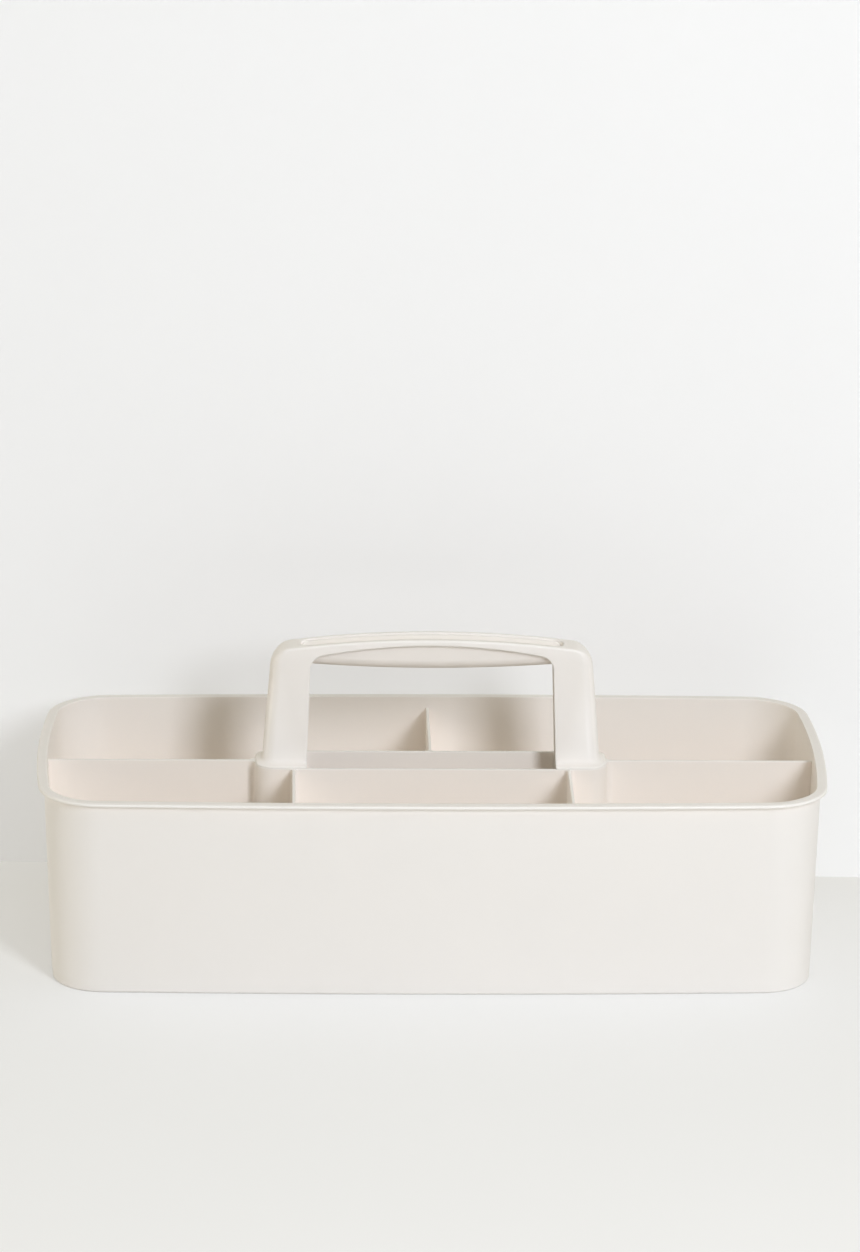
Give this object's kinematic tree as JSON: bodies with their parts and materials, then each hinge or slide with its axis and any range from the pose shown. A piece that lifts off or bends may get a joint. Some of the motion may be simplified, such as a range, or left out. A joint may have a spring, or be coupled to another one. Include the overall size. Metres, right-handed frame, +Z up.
{
  "type": "tool storage caddy",
  "caption": "Open carry caddy: a low rounded tub with moulded compartments and a hollow centre block, and an arched handle with a boat-shaped grip clipped into the block.",
  "frame": {"origin": "middle of the underside, on the plane that the caddy stands on", "axes": "+X along the length, to the right in the picture; +Y to the rear, towards the two long compartments; +Z up"},
  "size_m": [0.32, 0.15, 0.1293],
  "materials": {
    "tub_plastic": "satin",
    "handle_plastic": "satin",
    "grip_plastic": "satin"
  },
  "bodies": {
    "root": {"tub": "tub_plastic", "handle": "handle_plastic", "grip_insert": "grip_plastic"}
  },
  "joints": []
}
